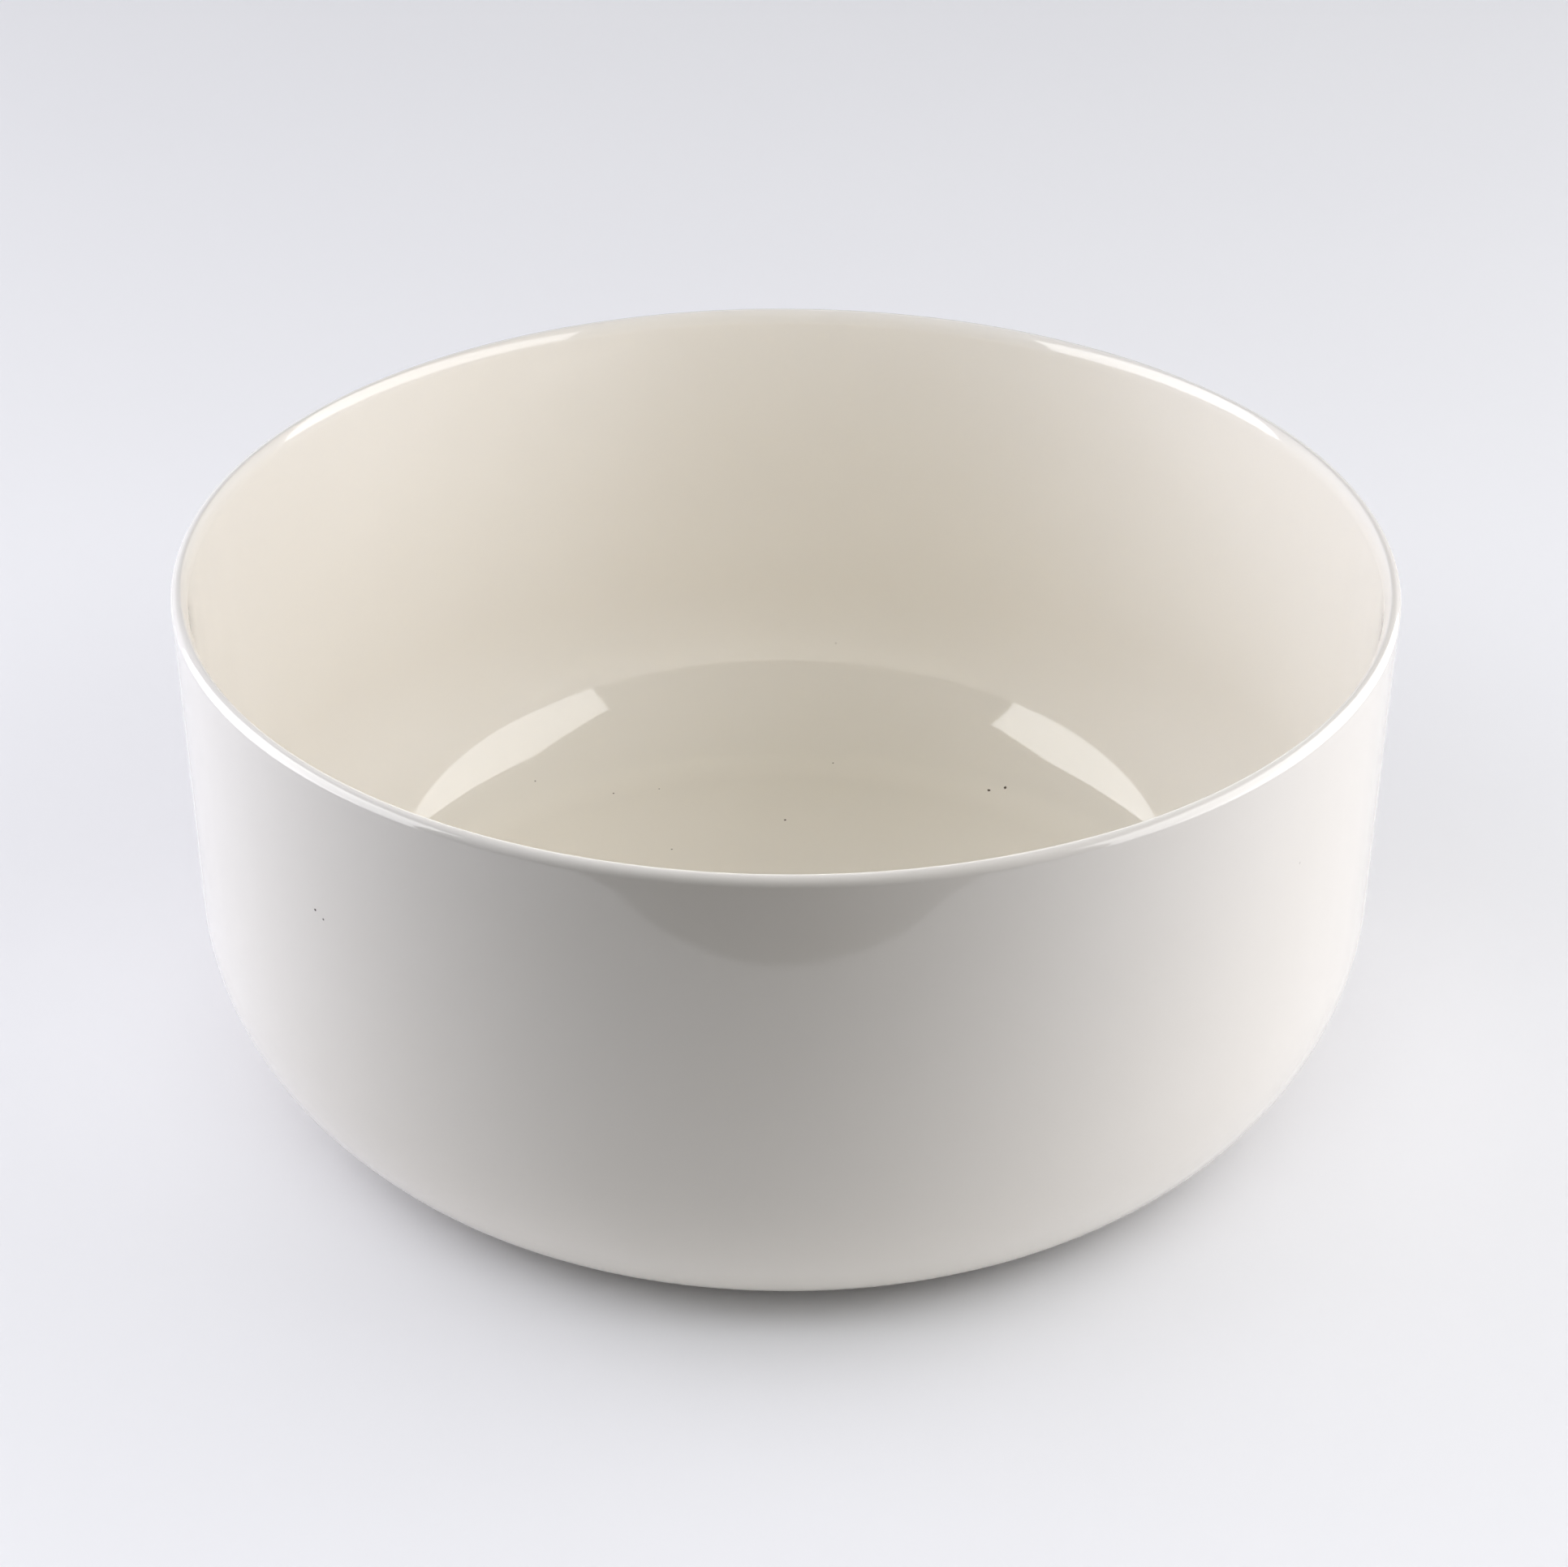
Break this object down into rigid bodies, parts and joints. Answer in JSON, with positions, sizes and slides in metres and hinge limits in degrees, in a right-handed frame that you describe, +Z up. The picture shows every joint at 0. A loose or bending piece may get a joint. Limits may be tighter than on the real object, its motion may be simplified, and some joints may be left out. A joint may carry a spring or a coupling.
{
  "type": "evaporating dish",
  "caption": "Deep round glazed porcelain dish with a nearly upright wall, a rounded shoulder, a thin rounded rim without a spout, and a bare foot ring.",
  "frame": {"origin": "centre of the foot ring, on the surface that the dish stands on", "axes": "+Z up along the dish's axis of revolution; X and Y are any two horizontal directions"},
  "size_m": [0.16, 0.16, 0.075],
  "materials": {
    "bare_porcelain": "fired and unglazed, fine matt",
    "ivory_glaze": "glossy ivory glaze"
  },
  "bodies": {
    "root": {"porcelain_body": "bare_porcelain", "glaze_coat": "ivory_glaze", "foot_recess_glaze": "ivory_glaze"}
  },
  "joints": []
}
